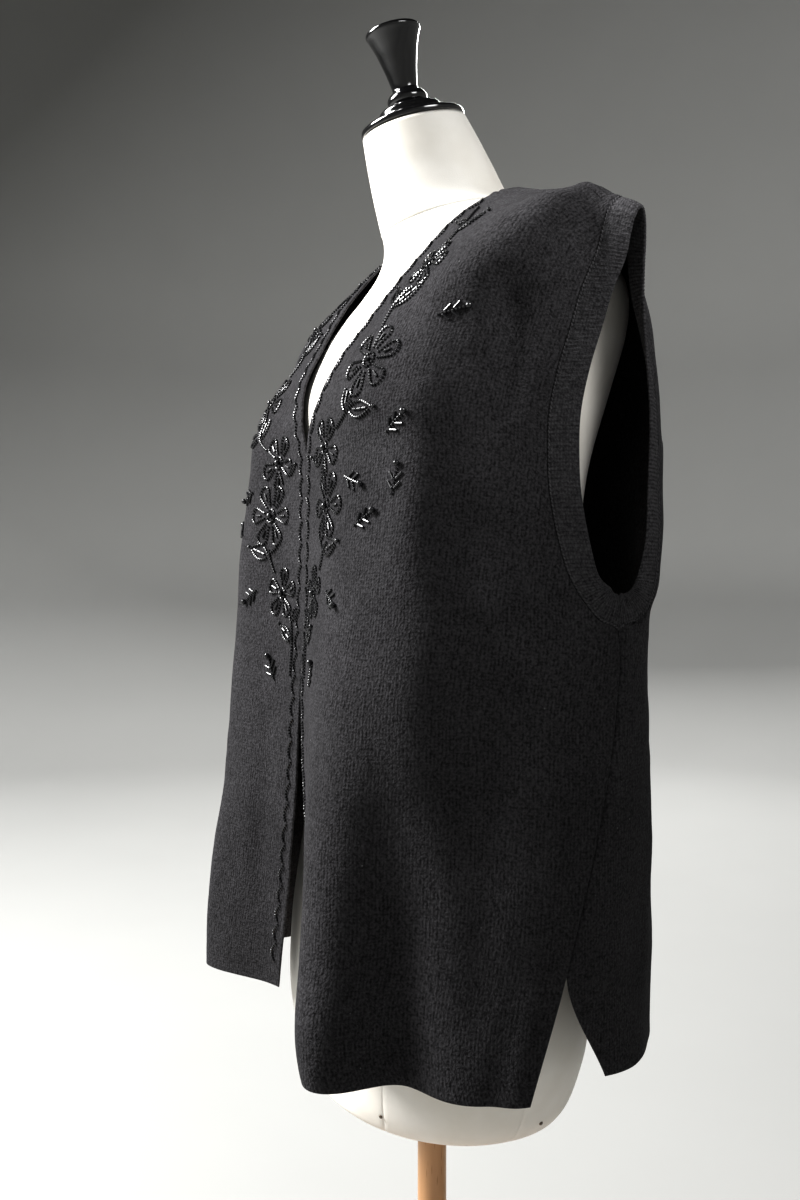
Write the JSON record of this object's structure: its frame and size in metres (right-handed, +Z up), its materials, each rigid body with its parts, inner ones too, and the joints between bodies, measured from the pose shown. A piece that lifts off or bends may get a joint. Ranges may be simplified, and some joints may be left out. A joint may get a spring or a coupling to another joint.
{
  "type": "sleeveless knit cardigan on dress form",
  "caption": "Open-front sleeveless knit cardigan with ribbed armhole bands and side slits, worn by a limbless dress form on a short round stand.",
  "frame": {"origin": "centre of the stand's underside, on the pole's axis", "axes": "+Z up, the front of the garment faces -Y, the wearer's left is +X"},
  "size_m": [0.441, 0.32, 1.1122],
  "materials": {
    "wool_knit": "matt fine jersey knit, slightly felted",
    "wool_rib": "matt fine rib knit",
    "form_cover": "matt cotton jersey cover",
    "black_lacquer": "turned wood in gloss lacquer",
    "beech": "satin varnish"
  },
  "bodies": {
    "root": {"front_left": "wool_knit", "front_right": "wool_knit", "back": "wool_knit", "armhole_band_left": "wool_rib", "armhole_band_right": "wool_rib", "form_body": "form_cover", "neck_cap": "black_lacquer", "finial": "black_lacquer", "pole": "beech", "base": "beech"}
  },
  "joints": []
}
